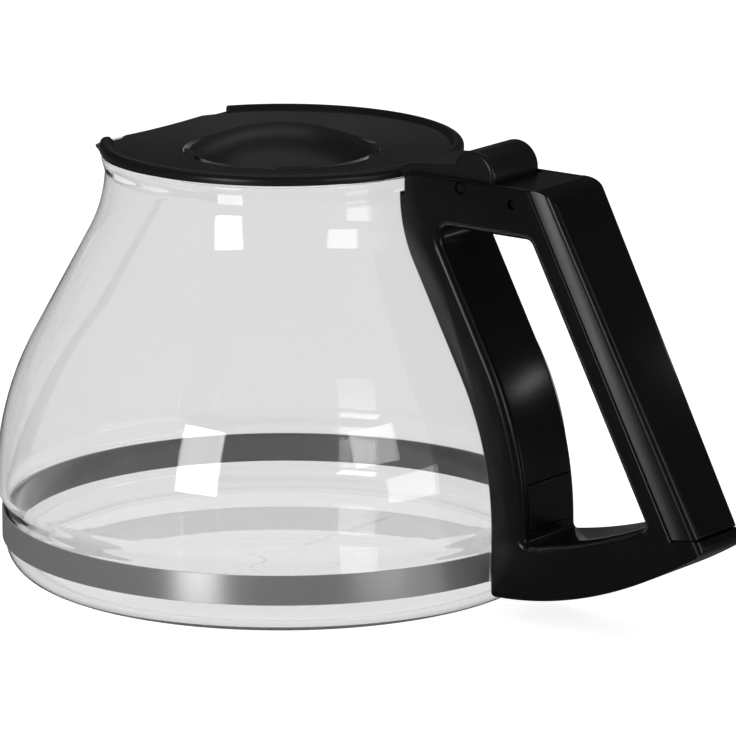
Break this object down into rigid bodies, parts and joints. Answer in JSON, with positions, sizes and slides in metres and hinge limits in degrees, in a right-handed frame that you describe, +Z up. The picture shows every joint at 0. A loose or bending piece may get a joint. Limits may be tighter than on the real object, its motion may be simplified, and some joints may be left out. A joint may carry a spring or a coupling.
{
  "type": "coffee carafe",
  "caption": "Round-bellied glass coffee jug with a drawn spout, a steel clamp band, a black moulded loop handle and a hinged lid with a thumb drum.",
  "frame": {"origin": "centre of the jug's flat base, in the plane it stands on", "axes": "+Z up along the jug's axis, +X towards the handle, the spout points to -X, the hinge of the lid runs along Y"},
  "size_m": [0.2236, 0.157, 0.1262],
  "materials": {
    "glass": "clear blown glass, polished",
    "steel": "polished steel strip and steel small parts",
    "gloss_black": "black moulded plastic, glossy",
    "satin_black": "black moulded plastic, satin"
  },
  "bodies": {
    "jug": {"glass_jug": "glass", "steel_band": "steel", "clamp_bracket": "steel", "clamp_screw": "steel", "clamp_cover": "gloss_black", "handle_frame": "gloss_black", "grip_cover": "gloss_black", "cover_pin": "gloss_black", "hinge_pin": "gloss_black"},
    "lid": {"lid_plate": "satin_black", "drip_dome": "satin_black"}
  },
  "joints": [
    {"name": "lid_hinge", "type": "hinge", "parent": "jug", "child": "lid", "pos_m": [0.0691, 0, 0.1163], "axis": [0, 1, 0], "range_deg": [0, 80]}
  ]
}
